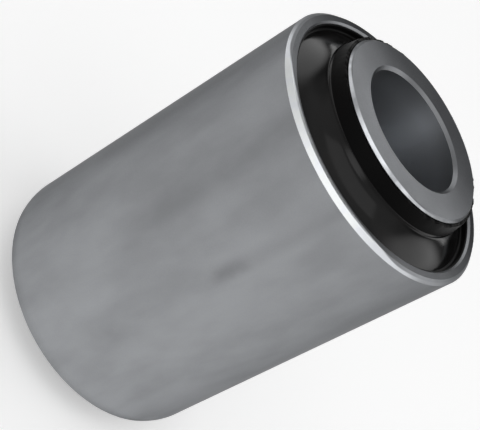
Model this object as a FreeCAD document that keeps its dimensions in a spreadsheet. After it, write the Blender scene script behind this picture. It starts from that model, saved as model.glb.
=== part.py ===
import FreeCAD, Part
import math
import os
import Sketcher

# Bonded rubber metal bush, in millimetres.
# A thin outer steel sleeve and a thick inner steel sleeve share one axis, and one rubber ring is
# vulcanised to both of them. The axis is +Z, and the origin is the middle of the bore. The end with
# the square rim is up. The other end of the outer sleeve is drawn in, so that it starts into its eye.

SIZES = {
    # Radial sizes, stacked from the bolt outwards.
    "bore_dia": (20.0, "bore for the bolt"),
    "inner_wall": (5.0, "wall of the inner sleeve"),
    "rubber_wall": (5.5, "rubber between the two sleeves"),
    "outer_wall": (2.0, "wall of the outer sleeve"),
    # Lengths along the axis.
    "outer_length": (60.0, "length of the outer sleeve"),
    "overhang": (5.0, "how far the inner sleeve stands out of each end"),
    # Edges of the steel.
    "bore_chamfer": (0.5, "chamfer at both ends of the bore"),
    "face_chamfer": (0.4, "chamfer round the inner sleeve's end faces"),
    "rim_chamfer": (0.7, "chamfer round the outer sleeve's rim"),
    "throat_chamfer": (0.3, "chamfer inside both ends of the outer sleeve"),
    "lead_length": (2.4, "length of the drawn-in lead"),
    "lead_depth": (0.5, "how far the lead is drawn in on the radius"),
    "lead_chamfer": (0.3, "chamfer where the lead meets the end face"),
    # Moulded end of the rubber.
    "film_wall": (0.5, "rubber on the inner sleeve at the collar's top edge"),
    "film_drop": (0.5, "collar's top edge below the inner sleeve's end face"),
    "ridge_wall": (1.0, "rubber on the inner sleeve at the collar's foot"),
    "ridge_drop": (3.3, "collar's foot below the inner sleeve's end face"),
    "flank_radius": (7.2, "hollow sweep from the collar's foot down to the trough"),
    "trough_wall": (0.65, "rubber on the outer sleeve where the sweep ends"),
    "trough_depth": (1.45, "end of the sweep below the outer sleeve's rim"),
    "bevel_rise": (0.5, "height of the bevel between the sweep and the lip"),
    "lip_wall": (0.2, "rubber that lines the outer sleeve above the bevel"),
    "lip_drop": (0.4, "top of that lining below the outer sleeve's rim"),
}

# Places worked out from the sizes. Radii run from the axis, heights from the middle of the bush.
BORE_RADIUS = "sizes.bore_dia / 2"
INNER_RADIUS = f"{BORE_RADIUS} + sizes.inner_wall"
THROAT_RADIUS = f"{INNER_RADIUS} + sizes.rubber_wall"
OUTER_RADIUS = f"{THROAT_RADIUS} + sizes.outer_wall"
RIM_HEIGHT = "sizes.outer_length / 2"
FACE_HEIGHT = f"{RIM_HEIGHT} + sizes.overhang"
FILM_RADIUS = f"{INNER_RADIUS} + sizes.film_wall"
FILM_HEIGHT = f"{FACE_HEIGHT} - sizes.film_drop"
RIDGE_RADIUS = f"{INNER_RADIUS} + sizes.ridge_wall"
RIDGE_HEIGHT = f"{FACE_HEIGHT} - sizes.ridge_drop"
TROUGH_RADIUS = f"{THROAT_RADIUS} - sizes.trough_wall"
TROUGH_HEIGHT = f"{RIM_HEIGHT} - sizes.trough_depth"
BEVEL_HEIGHT = f"{TROUGH_HEIGHT} + sizes.bevel_rise"
LIP_RADIUS = f"{THROAT_RADIUS} - sizes.lip_wall"
LIP_HEIGHT = f"{RIM_HEIGHT} - sizes.lip_drop"

START, END, CENTRE = 1, 2, 3  # the points of a line, an arc or a circle in a sketch
LEVEL_AXIS = -1  # a sketch's own horizontal axis, which starts at its origin
ORIGIN = (LEVEL_AXIS, START)
NORMAL = FreeCAD.Vector(0, 0, 1)  # a circle in a sketch turns about this
SAME = 1e-4  # two places closer than this are one, in millimetres

doc = FreeCAD.newDocument("rubber_metal_bush")


def fill_sheet():
    """Writes each size, its name and its meaning into one row of the sheet."""
    sheet = doc.addObject("Spreadsheet::Sheet", "sizes")
    for row, (name, (size, meaning)) in enumerate(SIZES.items(), start=1):
        sheet.set(f"A{row}", name)
        sheet.set(f"B{row}", str(size))
        sheet.set(f"C{row}", meaning)
        sheet.setAlias(f"B{row}", name)
    doc.recompute()
    return sheet


def measure(expression):
    """Value of an expression of the sheet's sizes, in millimetres."""
    return float(sheet.evalExpression(expression))


def new_body(label):
    body = doc.addObject("PartDesign::Body", label)
    body.Label = label
    body.Placement = FreeCAD.Placement()
    return body


def origin_feature(body, role):
    return next(feature for feature in body.Origin.OriginFeatures if feature.Role == role)


def new_sketch(body, name, plane):
    sketch = body.newObject("Sketcher::SketchObject", name)
    sketch.AttachmentSupport = (origin_feature(body, plane), [""])
    sketch.MapMode = "FlatFace"
    return sketch


def add_path(sketch, points):
    """Adds straight lines from point to point, joined end to start, and returns their numbers."""
    vectors = [FreeCAD.Vector(x, y, 0) for x, y in points]
    lines = [sketch.addGeometry(Part.LineSegment(a, b), False) for a, b in zip(vectors, vectors[1:])]
    for line, following in zip(lines, lines[1:]):
        sketch.addConstraint(Sketcher.Constraint("Coincident", line, END, following, START))
    return lines


def straighten(sketch, upright, level):
    """Makes the lines in the first list vertical and those in the second list horizontal."""
    for line in upright:
        sketch.addConstraint(Sketcher.Constraint("Vertical", line))
    for line in level:
        sketch.addConstraint(Sketcher.Constraint("Horizontal", line))


def dimension(sketch, kind, name, expression, start, end):
    """Sets the distance between two points of a sketch, and ties it to the sheet."""
    index = sketch.addConstraint(Sketcher.Constraint(kind, *start, *end, measure(expression)))
    sketch.renameConstraint(index, name)
    sketch.setExpression(f"Constraints.{name}", expression)


def ring_edges(feature, rings):
    """Names of a feature's circular edges about the axis, each found by its radius and height."""
    names = []
    for radius, height in rings:
        for number, edge in enumerate(feature.Shape.Edges, start=1):
            curve = edge.Curve
            if not isinstance(curve, Part.Circle):
                continue
            if abs(curve.Radius - radius) < SAME and abs(curve.Center.z - height) < SAME:
                names.append(f"Edge{number}")
    if len(names) != len(rings):
        raise RuntimeError(f"{feature.Name}: found {names} for the rings {rings}")
    return names


def chamfer(body, name, size, feature, rings):
    """45 degree chamfer on a body's circular edges, with its size taken from the sheet."""
    bevel = body.newObject("PartDesign::Chamfer", name)
    bevel.Base = (feature, ring_edges(feature, rings))
    bevel.setExpression("Size", size)
    doc.recompute()
    if not bevel.Shape.Volume < feature.Shape.Volume:
        raise RuntimeError(f"{name} took nothing off {feature.Name}")
    return bevel


def revolve(body, name, sketch):
    revolution = body.newObject("PartDesign::Revolution", name)
    revolution.Profile = sketch
    revolution.ReferenceAxis = (sketch, ["V_Axis"])
    revolution.Angle = 360
    doc.recompute()
    return revolution


def build_inner_sleeve():
    """Thick tube cut to length, with both edges of each end face chamfered."""
    body = new_body("inner_sleeve")
    sketch = new_sketch(body, "inner_rings", "XY_Plane")
    for name, expression in (("bore_radius", BORE_RADIUS), ("inner_radius", INNER_RADIUS)):
        circle = Part.Circle(FreeCAD.Vector(), NORMAL, measure(expression))
        ring = sketch.addGeometry(circle, False)
        sketch.addConstraint(Sketcher.Constraint("Coincident", ring, CENTRE, *ORIGIN))
        index = sketch.addConstraint(Sketcher.Constraint("Radius", ring, measure(expression)))
        sketch.renameConstraint(index, name)
        sketch.setExpression(f"Constraints.{name}", expression)
    tube = body.newObject("PartDesign::Pad", "inner_tube")
    tube.Profile = sketch
    tube.SideType = "Symmetric"
    tube.setExpression("Length", f"2 * ({FACE_HEIGHT})")
    doc.recompute()
    face = measure(FACE_HEIGHT)
    bore_rings = [(measure(BORE_RADIUS), height) for height in (-face, face)]
    bored = chamfer(body, "bore_chamfers", "sizes.bore_chamfer", tube, bore_rings)
    outer_rings = [(measure(INNER_RADIUS), height) for height in (-face, face)]
    chamfer(body, "face_chamfers", "sizes.face_chamfer", bored, outer_rings)
    return body


def build_outer_sleeve():
    """Thin tube with a chamfered rim at the top and a drawn-in lead at the bottom."""
    body = new_body("outer_sleeve")
    throat, outer = measure(THROAT_RADIUS), measure(OUTER_RADIUS)
    rim, lead_top = measure(RIM_HEIGHT), measure(f"-({RIM_HEIGHT}) + sizes.lead_length")
    lead_foot = measure(f"{OUTER_RADIUS} - sizes.lead_depth")

    sketch = new_sketch(body, "wall_section", "XZ_Plane")
    corners = [(lead_foot, -rim), (throat, -rim), (throat, rim), (outer, rim), (outer, lead_top)]
    foot, inside, top, outside = add_path(sketch, corners)
    straighten(sketch, (inside, outside), (foot, top))
    # The lead is one arc that leaves the straight outside without a corner.
    lead_radius = measure("(sizes.lead_length^2 + sizes.lead_depth^2) / (2 * sizes.lead_depth)")
    circle = Part.Circle(FreeCAD.Vector(outer - lead_radius, lead_top, 0), NORMAL, lead_radius)
    sweep = math.asin((rim + lead_top) / lead_radius)
    lead = sketch.addGeometry(Part.ArcOfCircle(circle, -sweep, 0), False)
    sketch.addConstraint(Sketcher.Constraint("Tangent", outside, END, lead, END))
    sketch.addConstraint(Sketcher.Constraint("Coincident", lead, START, foot, START))
    dimension(sketch, "DistanceX", "throat_radius", THROAT_RADIUS, ORIGIN, (inside, START))
    dimension(sketch, "DistanceX", "outer_radius", OUTER_RADIUS, ORIGIN, (top, END))
    dimension(sketch, "DistanceY", "rim_height", RIM_HEIGHT, ORIGIN, (top, END))
    dimension(sketch, "DistanceY", "foot_height", RIM_HEIGHT, (foot, START), ORIGIN)
    dimension(sketch, "DistanceX", "lead_depth", "sizes.lead_depth", (lead, START), (lead, END))
    dimension(sketch, "DistanceY", "lead_length", "sizes.lead_length", (lead, START), (lead, END))

    wall = revolve(body, "wall", sketch)
    rimmed = chamfer(body, "rim_chamfer", "sizes.rim_chamfer", wall, [(outer, rim)])
    throats = [(throat, -rim), (throat, rim)]
    opened = chamfer(body, "throat_chamfers", "sizes.throat_chamfer", rimmed, throats)
    chamfer(body, "lead_chamfer", "sizes.lead_chamfer", opened, [(lead_foot, -rim)])
    return body


def build_rubber_ring():
    """Rubber moulded between the sleeves and bonded to both, the same at either end.

    The end profile is what the mould leaves: a thin collar up the inner sleeve, a hollow flank that
    sweeps from the collar's foot down to a trough beside the outer sleeve, and a thin lip that lines
    the outer sleeve up to its rim.
    """
    body = new_body("rubber_ring")
    inner, throat = measure(INNER_RADIUS), measure(THROAT_RADIUS)
    ridge = (measure(RIDGE_RADIUS), measure(RIDGE_HEIGHT))
    trough = (measure(TROUGH_RADIUS), measure(TROUGH_HEIGHT))
    lip = (measure(LIP_RADIUS), measure(LIP_HEIGHT))
    film = (measure(FILM_RADIUS), measure(FILM_HEIGHT))

    sketch = new_sketch(body, "end_profile", "XZ_Plane")
    corners = [
        trough,
        (lip[0], measure(BEVEL_HEIGHT)),
        lip,
        (throat, lip[1]),
        (throat, 0),
        (inner, 0),
        (inner, film[1]),
        film,
        ridge,
    ]
    bevel, lining, lip_top, bond_outside, middle, bond_inside, film_top, collar = add_path(sketch, corners)
    straighten(sketch, (lining, bond_outside, bond_inside), (lip_top, middle, film_top))

    # Flank: an arc whose centre lies over the trough, so that the rubber is hollow there.
    chord, flank_radius = math.dist(ridge, trough), measure("sizes.flank_radius")
    reach = math.sqrt(flank_radius**2 - chord**2 / 4) / chord
    centre = FreeCAD.Vector(
        (ridge[0] + trough[0]) / 2 + (ridge[1] - trough[1]) * reach,
        (ridge[1] + trough[1]) / 2 + (trough[0] - ridge[0]) * reach,
        0,
    )
    circle = Part.Circle(centre, NORMAL, flank_radius)
    ends = [math.atan2(height - centre.y, radius - centre.x) for radius, height in (ridge, trough)]
    flank = sketch.addGeometry(Part.ArcOfCircle(circle, *ends), False)
    sketch.addConstraint(Sketcher.Constraint("Coincident", flank, START, collar, END))
    sketch.addConstraint(Sketcher.Constraint("Coincident", flank, END, bevel, START))
    index = sketch.addConstraint(Sketcher.Constraint("Radius", flank, flank_radius))
    sketch.renameConstraint(index, "flank_radius")
    sketch.setExpression("Constraints.flank_radius", "sizes.flank_radius")

    sketch.addConstraint(Sketcher.Constraint("PointOnObject", middle, START, LEVEL_AXIS))
    dimension(sketch, "DistanceX", "inner_radius", INNER_RADIUS, ORIGIN, (film_top, START))
    dimension(sketch, "DistanceX", "throat_radius", THROAT_RADIUS, ORIGIN, (lip_top, END))
    dimension(sketch, "DistanceX", "film_radius", FILM_RADIUS, ORIGIN, (collar, START))
    dimension(sketch, "DistanceY", "film_height", FILM_HEIGHT, ORIGIN, (collar, START))
    dimension(sketch, "DistanceX", "ridge_radius", RIDGE_RADIUS, ORIGIN, (collar, END))
    dimension(sketch, "DistanceY", "ridge_height", RIDGE_HEIGHT, ORIGIN, (collar, END))
    dimension(sketch, "DistanceX", "trough_radius", TROUGH_RADIUS, ORIGIN, (bevel, START))
    dimension(sketch, "DistanceY", "trough_height", TROUGH_HEIGHT, ORIGIN, (bevel, START))
    dimension(sketch, "DistanceY", "bevel_height", BEVEL_HEIGHT, ORIGIN, (bevel, END))
    dimension(sketch, "DistanceX", "lip_radius", LIP_RADIUS, ORIGIN, (lining, END))
    dimension(sketch, "DistanceY", "lip_height", LIP_HEIGHT, ORIGIN, (lining, END))

    upper_half = revolve(body, "upper_half", sketch)
    both_halves = body.newObject("PartDesign::Mirrored", "both_halves")
    both_halves.Originals = [upper_half]
    both_halves.MirrorPlane = (origin_feature(body, "XY_Plane"), [""])
    body.Tip = both_halves
    return body


def check_document(bodies):
    """Stops the script if any object failed, or any sub-part is empty, invalid or in pieces."""
    for item in doc.Objects:
        if "Invalid" in item.State or "Error" in item.State:
            raise RuntimeError(f"{item.Name} is {item.State}")
        if item.isDerivedFrom("Sketcher::SketchObject") and not item.FullyConstrained:
            raise RuntimeError(f"{item.Name} isn't fully constrained")
    for body in bodies:
        if body.Shape.isNull() or not body.Shape.isValid() or len(body.Shape.Solids) != 1:
            raise RuntimeError(f"{body.Label} isn't one valid solid")


sheet = fill_sheet()
bodies = [build_outer_sleeve(), build_rubber_ring(), build_inner_sleeve()]
doc.recompute()
check_document(bodies)

os.makedirs("parts", exist_ok=True)
for body in bodies:
    body.Shape.exportStep(f"parts/{body.Label}.step")
    box = body.Shape.optimalBoundingBox()
    print(
        f"{body.Label}: {body.Shape.Volume / 1000:.2f} cm3, radius {box.XMax:.2f} mm, "
        f"height {box.ZMin:.2f} to {box.ZMax:.2f} mm"
    )
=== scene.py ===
# %% [markdown]
# A bonded rubber metal bush
#
# The real object is a pivot for a suspension arm or a leaf spring. A bolt clamps the thick inner
# sleeve, the thin outer sleeve is pressed into an eye, and the rubber between them is vulcanised to
# both, so it twists instead of sliding. All three are turned or moulded round one axis, which is +Z
# here, and the bush stands on its lower end.
#
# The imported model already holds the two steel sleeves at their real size, so they stay as they are
# and only get a finish. The rubber is what a lathe can't give: its edge is ragged and its surface is
# uneven, so it is modelled again, in the space of its solid.

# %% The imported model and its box
import math

import bpy
from mathutils import Matrix, Vector, noise


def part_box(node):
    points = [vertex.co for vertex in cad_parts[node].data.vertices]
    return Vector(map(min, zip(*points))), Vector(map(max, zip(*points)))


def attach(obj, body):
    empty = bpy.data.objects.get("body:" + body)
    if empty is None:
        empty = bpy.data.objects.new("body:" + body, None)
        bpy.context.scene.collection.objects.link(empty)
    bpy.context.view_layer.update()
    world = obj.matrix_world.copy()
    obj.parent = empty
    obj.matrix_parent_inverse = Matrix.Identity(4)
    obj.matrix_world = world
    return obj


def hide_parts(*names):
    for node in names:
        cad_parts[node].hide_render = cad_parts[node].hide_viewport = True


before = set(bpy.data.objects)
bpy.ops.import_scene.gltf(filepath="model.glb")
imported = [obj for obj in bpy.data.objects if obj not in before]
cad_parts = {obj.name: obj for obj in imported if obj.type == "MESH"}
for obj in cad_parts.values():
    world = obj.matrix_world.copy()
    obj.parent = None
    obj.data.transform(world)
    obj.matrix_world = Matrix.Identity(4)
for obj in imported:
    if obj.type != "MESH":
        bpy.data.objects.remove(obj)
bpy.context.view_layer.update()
MM = 0.001
print("nodes:", sorted(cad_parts))

# %% Sizes read from the three solids
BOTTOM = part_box("inner_sleeve")[0].z
FACE_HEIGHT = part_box("inner_sleeve")[1].z
INNER_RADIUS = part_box("inner_sleeve")[1].x
OUTER_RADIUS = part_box("outer_sleeve")[1].x
RIM_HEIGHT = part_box("outer_sleeve")[1].z
THROAT_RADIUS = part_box("rubber_ring")[1].x
FILM_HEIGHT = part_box("rubber_ring")[1].z
print(f"outer sleeve: radius {OUTER_RADIUS / MM:.1f} mm, rim at {RIM_HEIGHT / MM:.1f} mm")

# %% [markdown]
# The camera
#
# The bush was photographed from about 32 degrees above, with the picture turned so that its axis
# points up to the right. A camera could be aimed by eye, but the ellipses of the rim, the end face
# and the bore say where it stood: a fit to them gave the distance, the height and the turn below.
# The bush stays upright, and the camera turns about its line of sight instead.

# %% Camera
LENS = 98.1                      # millimetres, on the usual 36 mm wide sensor
ELEVATION = math.radians(32.19)
ROLL = math.radians(60.44)
DISTANCE = 209.2 * MM
AIM = Vector((-1.7, 0.0, 1.3)) * MM


def aim_camera(target, elevation, roll, distance, lens):
    """Camera on the -Y side that looks down at target, turned by roll about its line of sight."""
    back = Vector((0, -math.cos(elevation), math.sin(elevation)))
    level = Vector((1, 0, 0))
    upward = back.cross(level)
    right = level * math.cos(roll) + upward * math.sin(roll)
    data = bpy.data.cameras.new("camera")
    data.lens = lens
    data.clip_start = 1 * MM
    camera = bpy.data.objects.new("camera", data)
    turn = Matrix((right, back.cross(right), back)).transposed()
    camera.matrix_world = Matrix.Translation(target + back * distance) @ turn.to_4x4()
    bpy.context.scene.collection.objects.link(camera)
    return camera


bpy.context.scene.camera = aim_camera(AIM, ELEVATION, ROLL, DISTANCE, LENS)
print("camera at", [round(c / MM, 1) for c in bpy.context.scene.camera.location], "mm")

# %% [markdown]
# A small kit for materials
#
# A material here is a Principled shader with textures that vary over the surface. Adding each node by
# hand takes many lines, so one helper adds a node with its settings, another makes a soft step, and a
# third makes a group with named sockets. A group is the right home for an effect that several
# finishes share.

# %% Helpers for nodes and groups


def add_node(tree, kind, settings=None, **links):
    """New shader node. settings are its properties, and links feed its sockets by name or value."""
    node = tree.nodes.new("ShaderNode" + kind)
    for name, value in (settings or {}).items():
        setattr(node, name, value)
    for name, value in links.items():
        socket = next(s for s in node.inputs if s.enabled and s.name.replace(" ", "_") == name)
        if isinstance(value, bpy.types.NodeSocket):
            tree.links.new(value, socket)
        else:
            socket.default_value = value
    return node


def fade(tree, value, start, end, low=0.0, high=1.0):
    """Soft step: low where the value is at start, high where it is at end, which may be the smaller."""
    node = add_node(tree, "MapRange", {"interpolation_type": "SMOOTHSTEP"}, Value=value)
    for socket, number in (("From Min", start), ("From Max", end), ("To Min", low), ("To Max", high)):
        node.inputs[socket].default_value = number
    return node.outputs["Result"]


def new_group(name, inputs, outputs):
    """Empty node group. inputs and outputs are pairs of a socket's name and kind."""
    group = bpy.data.node_groups.new(name, "ShaderNodeTree")
    for in_out, sockets in (("INPUT", inputs), ("OUTPUT", outputs)):
        for label, kind in sockets:
            group.interface.new_socket(label, in_out=in_out, socket_type="NodeSocket" + kind)
    entry = group.nodes.new("NodeGroupInput")
    leave = group.nodes.new("NodeGroupOutput")
    return group, entry.outputs, leave.inputs


# %% [markdown]
# Blotches on metal and rubber
#
# Steel that came off a mill or out of a mould is never one even grey. Handling, oil and the mill's
# own skin leave soft patches a few millimetres wide, stretched along the direction in which the tube
# was drawn. Noise sampled in coordinates that are squeezed along the axis gives such patches.

# %% Group: soft blotches
blotches, take, give = new_group(
    "soft blotches",
    [("Position", "Vector"), ("Scale", "Float"), ("Stretch", "Float")],
    [("Mask", "Float")],
)
squeezed = add_node(blotches, "VectorMath", {"operation": "MULTIPLY"})
squeeze = add_node(blotches, "CombineXYZ", X=1.0, Y=1.0, Z=take["Stretch"])
blotches.links.new(take["Position"], squeezed.inputs[0])
blotches.links.new(squeeze.outputs[0], squeezed.inputs[1])
cloud = add_node(
    blotches, "TexNoise", Vector=squeezed.outputs[0], Scale=take["Scale"], Detail=3.0, Roughness=0.55
)
blotches.links.new(fade(blotches, cloud.outputs["Fac"], 0.3, 0.7), give["Mask"])
print("group:", blotches.name, "with", len(blotches.nodes), "nodes")

# %% [markdown]
# Marks of the tools
#
# A cut face carries the fine rings of the turning tool, and a drawn tube carries fine lines along its
# axis. Both are grooves that are too small to see one by one: together they spread a reflection
# across the lines. Here they are bump, not roughness alone, so the spread runs the right way. The
# group also gives out the distance from the axis, which the rings need and the steel uses again.

# %% Helpers for sums


def calculate(tree, operation, *terms):
    """Math node on up to three numbers or sockets. Returns its result."""
    node = tree.nodes.new("ShaderNodeMath")
    node.operation = operation
    for socket, term in zip(node.inputs, terms):
        if isinstance(term, bpy.types.NodeSocket):
            tree.links.new(term, socket)
        else:
            socket.default_value = term
    return node.outputs[0]


def multiply(tree, first, second):
    """Product of two numbers or sockets."""
    return calculate(tree, "MULTIPLY", first, second)


# %% Group: turned rings and drawn lines
LINE_SQUEEZE = 0.02              # a drawn line is fifty times as long as it is wide

tool_marks, take, give = new_group(
    "tool marks",
    [("Position", "Vector"), ("Ring Pitch", "Float"), ("Line Scale", "Float")],
    [("Radius", "Float"), ("Rings", "Float"), ("Lines", "Float")],
)
place = add_node(tool_marks, "SeparateXYZ", Vector=take["Position"]).outputs
x_square = multiply(tool_marks, place["X"], place["X"])
y_square = multiply(tool_marks, place["Y"], place["Y"])
across = calculate(tool_marks, "POWER", calculate(tool_marks, "ADD", x_square, y_square), 0.5)
tool_marks.links.new(across, give["Radius"])
ring_place = calculate(tool_marks, "DIVIDE", across, take["Ring Pitch"])
rings = add_node(tool_marks, "TexNoise", {"noise_dimensions": "1D"}, W=ring_place, Scale=1.0, Detail=2.0)
tool_marks.links.new(rings.outputs["Fac"], give["Rings"])
drawn_height = multiply(tool_marks, place["Z"], LINE_SQUEEZE)
drawn = add_node(tool_marks, "CombineXYZ", X=place["X"], Y=place["Y"], Z=drawn_height)
lines = add_node(
    tool_marks, "TexNoise", Vector=drawn.outputs[0], Scale=take["Line Scale"], Detail=2.0, Roughness=0.6
)
tool_marks.links.new(lines.outputs["Fac"], give["Lines"])
print("group:", tool_marks.name, "with", len(tool_marks.nodes), "nodes")

# %% [markdown]
# Fine grain
#
# Shot blasting, light oxide and the grain of a mould all leave a texture of a tenth of a millimetre.
# It breaks up reflections a little, and keeps a close view from looking like plastic.

# %% Group: fine grain
grain, take, give = new_group(
    "fine grain", [("Position", "Vector"), ("Size", "Float")], [("Height", "Float"), ("Mask", "Float")]
)
fineness = calculate(grain, "DIVIDE", 1.0, take["Size"])
speckle = add_node(grain, "TexNoise", Vector=take["Position"], Scale=fineness, Detail=2.0, Roughness=0.5)
grain.links.new(speckle.outputs["Fac"], give["Height"])
spots = add_node(grain, "MapRange", Value=speckle.outputs["Fac"])
spots.inputs["From Min"].default_value = 0.35
spots.inputs["From Max"].default_value = 0.65
grain.links.new(spots.outputs[0], give["Mask"])
print("group:", grain.name, "with", len(grain.nodes), "nodes")

# %% [markdown]
# Rubbed streaks
#
# Sliding in a chute or a jig leaves dull streaks along a tube. The outer sleeve has two broad faint
# ones, a narrow one between them that ends in a small dark smudge, and a round spot lower down. Each
# is a window in angle and height, fullest along its middle, and noise makes its outline run unevenly.

# %% Group: rubbed streaks
STREAKS = (                      # azimuth and half width in degrees, lower and upper end in mm, depth
    (-112, 12, -6, 40, 0.13),
    (-78, 5, 8, 40, 0.10),
    (-79, 6, 6, 10, 0.22),
    (-80, 10, -19, -15, 0.14),
    (-48, 10, 12, 40, 0.07),
)
END_SOFTNESS = 5 * MM
SIDE_WANDER = 0.06               # radians over which noise shifts a streak's sides
END_WANDER = 8 * MM              # and length over which it shifts the ends

streaks, take, give = new_group("rubbed streaks", [("Position", "Vector")], [("Mask", "Float")])
wander = add_node(streaks, "TexNoise", Vector=take["Position"], Scale=220.0, Detail=3.0).outputs["Fac"]
wander = calculate(streaks, "SUBTRACT", wander, 0.5)
place = add_node(streaks, "SeparateXYZ", Vector=take["Position"]).outputs
azimuth = calculate(streaks, "ARCTAN2", place["Y"], place["X"])
azimuth = calculate(streaks, "MULTIPLY_ADD", wander, SIDE_WANDER, azimuth)
level = calculate(streaks, "MULTIPLY_ADD", wander, END_WANDER, place["Z"])
total = 0.0
for centre, half_width, low, high, depth in STREAKS:
    aside = calculate(streaks, "ABSOLUTE", calculate(streaks, "SUBTRACT", azimuth, math.radians(centre)))
    across = fade(streaks, aside, math.radians(half_width), 0.0, 0.0, depth)
    lower = fade(streaks, level, low * MM - END_SOFTNESS, low * MM + END_SOFTNESS / 2)
    upper = fade(streaks, level, high * MM + END_SOFTNESS, high * MM - END_SOFTNESS / 2)
    streak = multiply(streaks, across, multiply(streaks, lower, upper))
    total = calculate(streaks, "ADD", total, streak)
streaks.links.new(total, give["Mask"])
print("group:", streaks.name, "with", len(STREAKS), "streaks")

# %% [markdown]
# Zones of a sleeve
#
# Both sleeves are plain low-carbon tube, but each zone was made by another tool: the side was drawn, the
# end faces were turned, the outer edges were cut last, and the bore was reamed. Each zone could get a
# material of its own, but then the borders would be hard and would follow the mesh. Masks from 0 to 1 are
# softer. Faces are found by being level, the cut edge by its slope and its distance from the sleeve's
# corner, and the bore by being upright and near the axis. The cut edge carries a painted highlight: its
# band is wide on the side towards the camera and hardly a line on the far side.

# %% Masks of the faces, the cut edge and the bore
FACE_LEVELS = 0.85, 0.95         # how level the surface is where a face begins, and where it is all face
EDGE_LEVELS = 0.35, 0.6          # the same for the leaning cut edge
BORE_LEVELS = 0.5, 0.3           # and for the upright wall of the bore
BORE_REACH = 10.3 * MM           # the bore is nearer to the axis than this
HIGHLIGHT_SIDE = math.radians(-98)     # the side on which the cut edge's painted highlight is widest and brightest
HIGHLIGHT_WIDENING = 0.6, 1.0              # share towards that side at which the highlighted band starts to widen, and at which it is widest
CUT_BORDER = 1.2, 0.8            # where the band begins and where it is full, in its own widths


def along(tree, vector, direction):
    """How far a vector reaches in a direction."""
    node = add_node(tree, "VectorMath", {"operation": "DOT_PRODUCT"})
    tree.links.new(vector, node.inputs[0])
    node.inputs[1].default_value = direction
    return node.outputs["Value"]


def find_zones(tree, position, normal, radius, cut_edge, highlight_widths):
    """Masks of the faces, the cut edge and the bore, and how far a point lies towards the painted
    highlight's side, which is at most 1.
    """
    levelness = calculate(tree, "ABSOLUTE", add_node(tree, "SeparateXYZ", Vector=normal).outputs["Z"])
    face = fade(tree, levelness, *FACE_LEVELS)

    # Painted highlight: the cut edge's band widens and brightens towards one side, and depth is how far a
    # point lies that way, not a depth of cut.
    highlight_line = (math.cos(HIGHLIGHT_SIDE), math.sin(HIGHLIGHT_SIDE), 0)
    depth = calculate(tree, "DIVIDE", along(tree, position, highlight_line), radius)
    width = fade(tree, depth, *HIGHLIGHT_WIDENING, *highlight_widths)
    reach = calculate(tree, "DIVIDE", calculate(tree, "SUBTRACT", cut_edge, radius), width)
    edge = multiply(tree, fade(tree, reach, *CUT_BORDER), fade(tree, levelness, *EDGE_LEVELS))

    inside = calculate(tree, "LESS_THAN", radius, BORE_REACH)
    bore = multiply(tree, inside, fade(tree, levelness, *BORE_LEVELS))
    return face, edge, bore, depth


# %% [markdown]
# Brightness of the zones, with painted light and shade
#
# The greys are set so that the steel reads as in the photograph where it mirrors a white floor. There the
# side is a little paler to the right and darker towards its upper end, the faces darken towards the back,
# and the bore is brighter down its middle and duller on its flanks and at its mouths. Lamps could do some
# of that, but no plain soft light gave it all, so these slow changes are painted light and shade in the
# greys.

# %% Brightness of the side and the faces
PAINTED_LIGHT_RIGHT = 0.08               # how much painted light lightens the side from its middle to the right
PAINTED_SHADE_UP = 0.10                   # and how much painted shade darkens it to its upper end
FACE_PAINTED_SHADE = 0.36                 # what painted shade leaves of a face's brightness at the back
FACE_SHADE_SPAN = -10 * MM, 12 * MM    # where on the way to the back it starts to fade, and where it ends


def blend(tree, share, first, second):
    """Mixes two numbers or sockets, from the first at 0 to the second at 1."""
    node = add_node(tree, "Mix", {"data_type": "FLOAT"}, Factor=share, A=first, B=second)
    return node.outputs["Result"]


def place_group(tree, group, **links):
    """Puts a group into a material and feeds its sockets, whose names have _ for a space."""
    node = tree.nodes.new("ShaderNodeGroup")
    node.node_tree = group
    for name, value in links.items():
        socket = node.inputs[name.replace("_", " ")]
        if isinstance(value, bpy.types.NodeSocket):
            tree.links.new(value, socket)
        else:
            socket.default_value = value
    return node.outputs


def side_tone(tree, position, side_grey):
    """Brightness of the drawn side, with painted light to the right, painted shade towards its upper end,
    and its rubbed streaks.
    """
    painted_light_slope = (PAINTED_LIGHT_RIGHT / OUTER_RADIUS, 0, -PAINTED_SHADE_UP / RIM_HEIGHT)
    painted_light_factor = calculate(tree, "ADD", along(tree, position, painted_light_slope), 1.0)
    rubbed = place_group(tree, streaks, Position=position)["Mask"]
    return multiply(tree, calculate(tree, "SUBTRACT", painted_light_factor, rubbed), side_grey)


def face_tone(tree, position, face_grey):
    """Brightness of the end faces, darkened towards the back by painted shade."""
    backward = along(tree, position, (0, 1, 0))
    return fade(tree, backward, *FACE_SHADE_SPAN, face_grey, FACE_PAINTED_SHADE * face_grey)


# %% Brightness of the cut edge and the bore
HIGHLIGHT_SPAN = 0.35, 0.75            # share towards that side at which the painted highlight is dullest, and at which it is bright
DIM_HIGHLIGHT_SHARE = 0.35             # what is left of its brightness where it is dullest
FLECK_SIZE = 3 * MM
BORE_REFLECTION_GREYS = 0.97, 0.5           # the bore's grey in the middle of its width, a painted reflection, and on its flanks
BORE_REFLECTION_SPAN = 1 * MM, 10 * MM     # where the one ends and the other is reached
MOUTH_SHADE_DEPTH = 4 * MM             # painted shade darkens the bore over this length towards each end
MOUTH_SHADE_SHARE = 0.7                # to this share of its brightness


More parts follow.
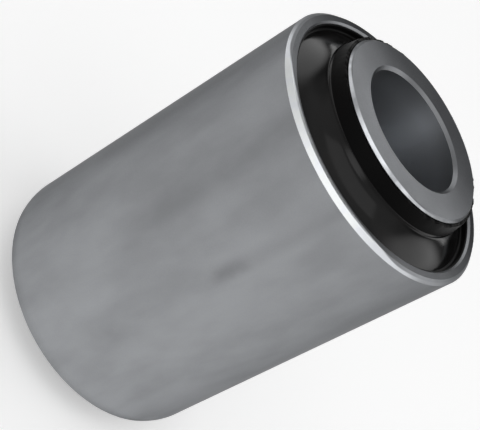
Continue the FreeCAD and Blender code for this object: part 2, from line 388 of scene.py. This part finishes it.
def cut_and_highlight_tone(tree, position, depth, cut_and_highlight_grey, ragged):
    """Brightness of the cut edge: partly bright fresh-cut metal, partly a painted highlight that dims away
    from one side. ragged is how much it changes from fleck to fleck.
    """
    flecks = place_group(tree, grain, Position=position, Size=FLECK_SIZE)["Mask"]
    cut = fade(tree, depth, *HIGHLIGHT_SPAN, DIM_HIGHLIGHT_SHARE * cut_and_highlight_grey, cut_and_highlight_grey)
    return multiply(tree, cut, blend(tree, flecks, 1 - ragged, 1 + ragged / 2))


def bore_tone(tree, position):
    """Brightness of the reamed bore, with a painted reflection down its middle and painted shade on its
    flanks and at its mouths.
    """
    flank = calculate(tree, "ABSOLUTE", along(tree, position, (1, 0, 0)))
    height = calculate(tree, "ABSOLUTE", along(tree, position, (0, 0, 1)))
    mouth_shade = fade(tree, height, FACE_HEIGHT - MOUTH_SHADE_DEPTH, FACE_HEIGHT, 1.0, MOUTH_SHADE_SHARE)
    return multiply(tree, mouth_shade, fade(tree, flank, *BORE_REFLECTION_SPAN, *BORE_REFLECTION_GREYS))


# %% [markdown]
# Satin steel
#
# The tube is neither polished nor painted: a grey metal that blurs what it reflects. The finish lays
# the zones over each other, tints the result a little blue, and lets the grain vary the roughness and
# the tool marks roughen the surface. Dull steel doesn't whiten towards its outline as a mirror would,
# which the tint of grazing reflections takes care of.

# %% Steel finish
STEEL_TINT = (0.975, 1.0, 1.04, 1)
GRAZING_TINT = (0.35, 0.35, 0.35, 1)
SMOOTHER, ROUGHER = 0.04, 0.05   # what the grain takes off the roughness, and what it adds
GRAIN_RELIEF = 0.3               # height of the grain beside that of the drawn lines
RING_RELIEF = 1.4                # and height of the turned rings
RELIEF_DEPTH = 0.006 * MM


def new_material(name):
    """Material with one Principled shader. Returns the material, its tree and the shader."""
    material = bpy.data.materials.new(name)
    material.use_nodes = True
    shader = material.node_tree.nodes["Principled BSDF"]
    return material, material.node_tree, shader


def steel(name, side_grey, face_grey, cut_and_highlight_grey, cut_edge, highlight_widths, ragged, roughness, mottle):
    """Bare satin steel. The greys are those of its side, its end faces and its cut edges.

    cut_edge is the radius of the outer edge, the widths are the least and greatest width there of the cut
    edge's band, which carries a painted highlight, and mottle is how much the blotches lighten and darken
    the side and the faces.
    """
    material, tree, shader = new_material(name)
    coordinates = add_node(tree, "TexCoord").outputs
    position, normal = coordinates["Object"], coordinates["Normal"]
    patch = place_group(tree, blotches, Position=position, Scale=120.0, Stretch=0.45)["Mask"]
    marks = place_group(tree, tool_marks, Position=position, Ring_Pitch=0.12 * MM, Line_Scale=3200.0)
    fine = place_group(tree, grain, Position=position, Size=0.16 * MM)
    face, edge, bore, depth = find_zones(tree, position, normal, marks["Radius"], cut_edge, highlight_widths)

    # The side and face tones carry painted light and shade, the cut edge a painted highlight, and the bore
    # a painted reflection and painted shade.
    tone = blend(tree, face, side_tone(tree, position, side_grey), face_tone(tree, position, face_grey))
    tone = multiply(tree, tone, blend(tree, patch, 1 - mottle, 1 + mottle))
    tone = blend(tree, edge, tone, cut_and_highlight_tone(tree, position, depth, cut_and_highlight_grey, ragged))
    tone = blend(tree, bore, tone, bore_tone(tree, position))
    colour = add_node(tree, "MixRGB", Fac=tone, Color1=(0, 0, 0, 1), Color2=STEEL_TINT)
    tree.links.new(colour.outputs[0], shader.inputs["Base Color"])

    satin = fade(tree, fine["Mask"], 0.0, 1.0, roughness - SMOOTHER, roughness + ROUGHER)
    tree.links.new(satin, shader.inputs["Roughness"])
    grooves = blend(tree, face, marks["Lines"], multiply(tree, marks["Rings"], RING_RELIEF))
    relief = calculate(tree, "MULTIPLY_ADD", fine["Height"], GRAIN_RELIEF, grooves)
    bump = add_node(tree, "Bump", Height=relief, Strength=1.0, Distance=RELIEF_DEPTH)
    tree.links.new(bump.outputs[0], shader.inputs["Normal"])
    shader.inputs["Metallic"].default_value = 1.0
    shader.inputs["Specular Tint"].default_value = GRAZING_TINT
    return material


# The cut edges' greys are partly bright fresh-cut metal and partly painted highlight.
outer_steel = steel(
    "outer_steel", side_grey=0.322, face_grey=0.2, cut_and_highlight_grey=1.0, cut_edge=OUTER_RADIUS,
    highlight_widths=(0.35 * MM, 1.45 * MM), ragged=0.06, roughness=0.42, mottle=0.10,
)
inner_steel = steel(
    "inner_steel", side_grey=0.25, face_grey=0.265, cut_and_highlight_grey=0.8, cut_edge=INNER_RADIUS,
    highlight_widths=(0.25 * MM, 0.45 * MM), ragged=0.4, roughness=0.36, mottle=0.06,
)
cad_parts["outer_sleeve"].material_slots[0].material = outer_steel
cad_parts["inner_sleeve"].material_slots[0].material = inner_steel
print("steel finishes:", outer_steel.name, inner_steel.name)

# %% [markdown]
# The moulded rubber
#
# The mould closes on the end with a ring-shaped tip. It leaves a thin collar up the inner sleeve, a
# hollow flank that sweeps from the collar's foot down to a trough beside the outer sleeve, and a thin
# lining of rubber on that sleeve up to its rim. Boxes and cylinders can't give that flowing form, and
# a lathe gives it too evenly, so a section is drawn first, as points that run along lines and arcs.

# %% Section of one end of the rubber
FILM_WALL = 0.5 * MM             # rubber left on the inner sleeve at the torn edge
RIDGE_WALL = 1.0 * MM            # and at the collar's foot
RIDGE_DROP = 3.3 * MM            # collar's foot below the end face
FLANK_RADIUS = 7.2 * MM          # hollow sweep from there down to the trough
TROUGH_WALL = 0.65 * MM          # rubber on the outer sleeve where the sweep ends
TROUGH_DEPTH = 1.45 * MM         # end of the sweep below the rim
LIP_WALL = 0.2 * MM              # rubber that lines the outer sleeve
LIP_DROP = 0.4 * MM              # top of the lining below the rim
COLLAR_STEPS, FLANK_STEPS, ROUND_STEPS, LINING_STEPS = 30, 50, 10, 6


def between(start, end, steps):
    """Points on a straight line, without its end."""
    return [(start[0] + (end[0] - start[0]) * i / steps, start[1] + (end[1] - start[1]) * i / steps)
            for i in range(steps)]


def around(centre, radius, start, end, steps):
    """Points on an arc from one angle to another, without its end."""
    angles = [start + (end - start) * i / steps for i in range(steps)]
    return [(centre[0] + radius * math.cos(a), centre[1] + radius * math.sin(a)) for a in angles]


def bearing(start, end):
    """Angle in which end lies from start."""
    return math.atan2(end[1] - start[1], end[0] - start[0])


def end_section():
    """Points (radius, height) of the upper end, from the outer bond over the trough to the inner one."""
    film = (INNER_RADIUS + FILM_WALL, FILM_HEIGHT)
    ridge = (INNER_RADIUS + RIDGE_WALL, FACE_HEIGHT - RIDGE_DROP)
    trough = (THROAT_RADIUS - TROUGH_WALL, RIM_HEIGHT - TROUGH_DEPTH)
    lip = (THROAT_RADIUS - LIP_WALL, RIM_HEIGHT - LIP_DROP)

    # The sweep's centre lies over the trough, at equal distances from both of the sweep's ends.
    chord = math.dist(ridge, trough)
    reach = math.sqrt(FLANK_RADIUS**2 - chord**2 / 4) / chord
    centre = ((ridge[0] + trough[0]) / 2 + (ridge[1] - trough[1]) * reach,
              (ridge[1] + trough[1]) / 2 + (trough[0] - ridge[0]) * reach)
    top, foot = bearing(centre, ridge), bearing(centre, trough)

    # A round goes on from the sweep without a corner, and turns up into the upright lining.
    bend = (lip[0] - trough[0]) / (1 - math.cos(foot))
    round_centre = (lip[0] - bend, trough[1] - bend * math.sin(foot))

    points = [(THROAT_RADIUS, lip[1]), (THROAT_RADIUS - LIP_WALL / 2, lip[1])]
    points += between(lip, (lip[0], round_centre[1]), LINING_STEPS)
    points += around(round_centre, bend, 0, foot, ROUND_STEPS)
    points += around(centre, FLANK_RADIUS, foot, top, FLANK_STEPS)
    points += between(ridge, film, COLLAR_STEPS)
    points += [film, (INNER_RADIUS + FILM_WALL / 2, FILM_HEIGHT), (INNER_RADIUS, FILM_HEIGHT)]
    return points


for radius, height in end_section()[::20]:
    print(f"section at radius {radius / MM:.2f} mm, height {height / MM:.2f} mm")

# %% [markdown]
# What the mould left uneven
#
# Where two parts of the mould met, at the collar's foot, there is a faint ridge. They sat a little off
# centre, so it is highest on one side. The collar's top is a film that tore near the end face, and the
# whole surface is slightly uneven, which makes its gloss waver. Sculpting could give all this, but
# noise that closes on itself round the axis gives it in a few lines, and alike on each run.

# %% Unevenness of the moulded surface
RIDGE_HEIGHT = FACE_HEIGHT - RIDGE_DROP
RIDGE_WIDTH = 0.26 * MM
RIDGE_RISE = 0.07 * MM
RIDGE_SIDE = math.radians(-82)   # the ridge is highest here, and runs out on the other side
RIDGE_WANDER = 0.8               # how far it strays from its height, in its own widths
RIDGE_CHANGE = 0.5               # and share by which its rise changes on the way round
WAVER = 0.04 * MM                # height of the slow unevenness
TEAR = 0.28 * MM                 # height of the torn edge's unevenness
FINE_TEAR = 0.6                  # share of its fine teeth beside its coarse ones
TEAR_LOSS = 0.3                  # more of the film is lost than is left standing
BONDED = 0.001 * MM              # points nearer to the steel than this are fixed to it
CELLS_PER_METRE = 60             # so that noise is as coarse upwards as round a radius of 17 mm
UPPER_SEED, LOWER_SEED = 3.0, 40.0


def ring_noise(angle, height, scale, seed):
    """Smooth noise from -1 to 1 that closes on itself round the axis, finer with a larger scale."""
    place = Vector((math.cos(angle), math.sin(angle), height * CELLS_PER_METRE)) * scale
    return noise.noise(place + Vector((seed, seed, 0)))


def disturb(radius, height, angle, seed):
    """Moves one point of the section off its ideal place, and never into the steel.

    Each kind of unevenness shifts the seed by a number of its own, so that no two run alike. The
    tear fades quickly below the edge, and the ridge fades towards the side away from RIDGE_SIDE.
    """
    if radius < INNER_RADIUS + BONDED or radius > THROAT_RADIUS - BONDED:
        return radius, height
    strayed = RIDGE_WANDER * ring_noise(angle, 0, scale=1.5, seed=seed)
    ridge_place = (height - RIDGE_HEIGHT) / RIDGE_WIDTH - strayed
    offset = 0.5 + 0.5 * math.cos(angle - RIDGE_SIDE)
    change = RIDGE_CHANGE * ring_noise(angle, 0, scale=3, seed=seed + 5)
    rise = RIDGE_RISE * offset**2 * (1 + change)
    radius += rise * math.exp(-ridge_place**2)
    radius += WAVER * ring_noise(angle, height, scale=2.5, seed=seed + 9)
    near_film = min(1.0, max(0.0, (height - RIDGE_HEIGHT) / (FILM_HEIGHT - RIDGE_HEIGHT)))
    fine_teeth = FINE_TEAR * ring_noise(angle, 0, scale=30, seed=seed + 3)
    torn = ring_noise(angle, 0, scale=9, seed=seed + 2) + fine_teeth
    return radius, height + TEAR * near_film**3 * (torn - TEAR_LOSS)


for angle in range(-180, 180, 60):
    radius, height = disturb(INNER_RADIUS + FILM_WALL, FILM_HEIGHT, math.radians(angle), UPPER_SEED)
    print(f"torn edge at {angle} degrees: height {height / MM:.2f} mm")

# %% [markdown]
# The rubber's mesh
#
# The section is swept round the axis by hand, because a Screw or Spin would repeat it unchanged, and
# each of its copies is disturbed anew. The lower end gets the same section upside down, with a seed of
# its own. The points on the two bonds stay exactly on the steel, and join both ends.

# %% Sweep of the section round the axis
AROUND = 420                     # copies of the section


def build_rubber():
    """Closed mesh: the upper section, its copy at the lower end, and the two bonded walls between."""
    upper = end_section()
    section = [(r, z, 1.0) for r, z in upper] + [(r, z, -1.0) for r, z in reversed(upper)]
    verts, faces = [], []
    for turn in range(AROUND):
        angle = 2 * math.pi * turn / AROUND
        for radius, height, end in section:
            seed = UPPER_SEED if end > 0 else LOWER_SEED
            r, z = disturb(radius, height, angle, seed)
            verts.append((r * math.cos(angle), r * math.sin(angle), end * z))
    count = len(section)
    for turn in range(AROUND):
        here, there = turn * count, (turn + 1) % AROUND * count
        for step in range(count):
            following = (step + 1) % count
            faces.append((here + step, there + step, there + following, here + following))
    mesh = bpy.data.meshes.new("moulded_rubber")
    mesh.from_pydata(verts, [], faces)
    mesh.validate()
    for polygon in mesh.polygons:
        polygon.use_smooth = True
    rubber = bpy.data.objects.new("moulded_rubber", mesh)
    bpy.context.scene.collection.objects.link(rubber)
    return rubber


rubber = build_rubber()
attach(rubber, "root")
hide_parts("rubber_ring")
print("rubber:", len(rubber.data.polygons), "faces")

# %% [markdown]
# Rubber finish
#
# Fresh moulded rubber is almost black and copies the polish of its mould, so it is shiny where the
# mould was polished. It is dull where the film tore, and on the thin lining, which the mould scraped
# as it opened. The dull bands get a material of their own, because how much a surface mirrors is one
# number for a whole material. The lower edge of the collar's band is a little above the ridge, so
# that the ridge still catches the light.

# %% Two black rubbers
DULL_RISE = 0.5 * MM             # the torn film's dull surface starts this far above the ridge
WARM_SHARE = 0.9                 # green and blue of the paler patches, beside their red


def black_rubber(name, dark, pale, mirror, smooth, rough, grain_height):
    """Black rubber. mirror is its specular level, smooth and rough are the ends of its roughness."""
    material, tree, shader = new_material(name)
    position = add_node(tree, "TexCoord").outputs["Object"]
    patch = place_group(tree, blotches, Position=position, Scale=160.0, Stretch=1.0)["Mask"]
    fine = place_group(tree, grain, Position=position, Size=0.25 * MM)
    black = (dark, dark, dark, 1)
    worn = (pale, pale * WARM_SHARE, pale * WARM_SHARE, 1)
    shade = add_node(tree, "MixRGB", Fac=patch, Color1=black, Color2=worn)
    tree.links.new(shade.outputs[0], shader.inputs["Base Color"])
    gloss = add_node(tree, "MapRange", Value=patch)
    gloss.inputs["To Min"].default_value = smooth
    gloss.inputs["To Max"].default_value = rough
    tree.links.new(gloss.outputs[0], shader.inputs["Roughness"])
    bump = add_node(tree, "Bump", Height=fine["Height"], Strength=1.0, Distance=grain_height)
    tree.links.new(bump.outputs[0], shader.inputs["Normal"])
    shader.inputs["Specular IOR Level"].default_value = mirror
    return material


shiny_rubber = black_rubber(
    "black_rubber", dark=0.003, pale=0.006, mirror=0.27, smooth=0.12, rough=0.20, grain_height=0.004 * MM
)
torn_rubber = black_rubber(
    "torn_rubber", dark=0.0015, pale=0.003, mirror=0.06, smooth=0.38, rough=0.52, grain_height=0.012 * MM
)
rubber.data.materials.append(shiny_rubber)
rubber.data.materials.append(torn_rubber)
for polygon in rubber.data.polygons:
    from_axis = math.hypot(polygon.center.x, polygon.center.y)
    dull = abs(polygon.center.z) > RIDGE_HEIGHT + DULL_RISE or from_axis > THROAT_RADIUS - TROUGH_WALL
    polygon.material_index = int(dull)
print("dull faces:", sum(polygon.material_index for polygon in rubber.data.polygons))

# %% [markdown]
# The floor
#
# The bush was shot as a catalogue picture, on white. Turning the lamps up until the floor clips would
# burn the steel out too. The floor is pale instead, and what the camera and mirror-like surfaces see
# of it gets a little glow of its own, so it reads as white and still takes the shadow.

# %% Floor
FLOOR_SIZE = 4.0
FLOOR_WHITE = (0.82, 0.82, 0.82, 1)
FLOOR_GLOW = 0.37

bpy.ops.mesh.primitive_plane_add(size=FLOOR_SIZE, location=(0, 0, BOTTOM))
floor = bpy.context.object
floor.name = "floor"
paper, tree, shader = new_material("white_floor")
shader.inputs["Base Color"].default_value = FLOOR_WHITE
shader.inputs["Roughness"].default_value = 0.9
shader.inputs["Specular IOR Level"].default_value = 0.0
shader.inputs["Emission Color"].default_value = (1, 1, 1, 1)
rays = add_node(tree, "LightPath").outputs
mirrored = calculate(tree, "MAXIMUM", rays["Is Glossy Ray"], rays["Is Transmission Ray"])
seen = calculate(tree, "MAXIMUM", rays["Is Camera Ray"], mirrored)
tree.links.new(multiply(tree, seen, FLOOR_GLOW), shader.inputs["Emission Strength"])
floor.data.materials.append(paper)
print("floor at", round(BOTTOM / MM, 2), "mm")

# %% [markdown]
# What the bush mirrors
#
# Metal and glossy rubber show the room around them more than any lamp. Real panels on stands could
# be built as meshes, but the world can hold them as soft patches of light, with nothing in the way of
# other views. The room is pale on the camera's side and dark behind the bush, which keeps the rubber
# black. Two pale panels behind it, left and right, make the patches at both ends of the hollow flank,
# the one straight behind lights the end faces, and the one in front lights the ridge and the rubber's
# near side. Two dark cloths hang left and right. They have a negative level, because they take away
# from what the room gives there. The camera itself sees plain white.

# %% The room
ROOM_NEAR, ROOM_FAR = 0.62, 0.12 # level of the pale room by the camera, and of the dark room behind
NEAR_TO_FAR = 0.0, 0.7           # directions on the way to the back between which one turns to the other
HORIZON_SHARE = 0.5              # how much of either is left at the horizon
HORIZON_SPAN = 0.0, 0.35         # directions on the way up between which the rest comes back

world = bpy.data.worlds.new("studio")
bpy.context.scene.world = world
world.use_nodes = True
sky = world.node_tree
toward = add_node(sky, "TexCoord").outputs["Generated"]
room = fade(sky, along(sky, toward, (0, 1, 0)), *NEAR_TO_FAR, ROOM_NEAR, ROOM_FAR)
horizon = fade(sky, along(sky, toward, (0, 0, 1)), *HORIZON_SPAN, HORIZON_SHARE, 1.0)
glow = multiply(sky, room, horizon)

# %% Panels and dark cloths
PANELS = (                       # direction, reach in degrees from full to nothing, and level
    ((0.68, 0.54, 0.49), (14, 29), 1.25),
    ((-0.6, 0.68, 0.42), (14, 26), 1.2),
    ((0.0, 0.91, 0.41), (9, 20), 1.35),
    ((0.0, -0.95, 0.28), (8, 22), 1.1),
    ((0.93, 0.12, 0.34), (5, 27), -0.24),
    ((-0.93, 0.12, 0.34), (5, 27), -0.24),
)

for centre, reach, level in PANELS:
    full, none = (math.cos(math.radians(angle)) for angle in reach)
    panel = fade(sky, along(sky, toward, Vector(centre).normalized()), none, full, 0.0, level)
    glow = calculate(sky, "ADD", glow, panel)

# The larger of the two is white for the camera, and never below black for anything else.
camera_ray = add_node(sky, "LightPath").outputs["Is Camera Ray"]
sky.links.new(calculate(sky, "MAXIMUM", glow, camera_ray), sky.nodes["Background"].inputs["Strength"])
sky.nodes["Background"].inputs["Color"].default_value = (1, 1, 1, 1)
print("surroundings:", len(PANELS), "panels and cloths")

# %% [markdown]
# The lamp
#
# One softbox above, a little to the camera's side, lights the floor, shines on the rim's cut edge
# and makes the soft shadow. A small lamp would give a hard shadow and a spark on the steel, which
# the photograph doesn't show.

# %% Softbox


def add_softbox(name, direction, distance, width, depth, brightness):
    """Rectangular softbox that faces the bush. Its power follows its area, so its level stays the same."""
    lamp = bpy.data.lights.new(name, "AREA")
    lamp.shape = "RECTANGLE"
    lamp.size = width
    lamp.size_y = depth
    lamp.energy = brightness * math.pi * width * depth
    holder = bpy.data.objects.new(name, lamp)
    outward = Vector(direction).normalized()
    facing = outward.to_track_quat("Z", "Y").to_matrix().to_4x4()
    holder.matrix_world = Matrix.Translation(outward * distance) @ facing
    bpy.context.scene.collection.objects.link(holder)
    return holder


softbox = add_softbox(
    "top_softbox", direction=(0.1, -0.45, 0.88), distance=0.55, width=0.6, depth=0.3, brightness=0.55
)
print(softbox.name, "with", round(softbox.data.energy, 3), "watts")

# %% [markdown]
# Colours
#
# The Standard view shows a colour about as it is written.

# %% Colour management
bpy.context.scene.view_settings.view_transform = "Standard"
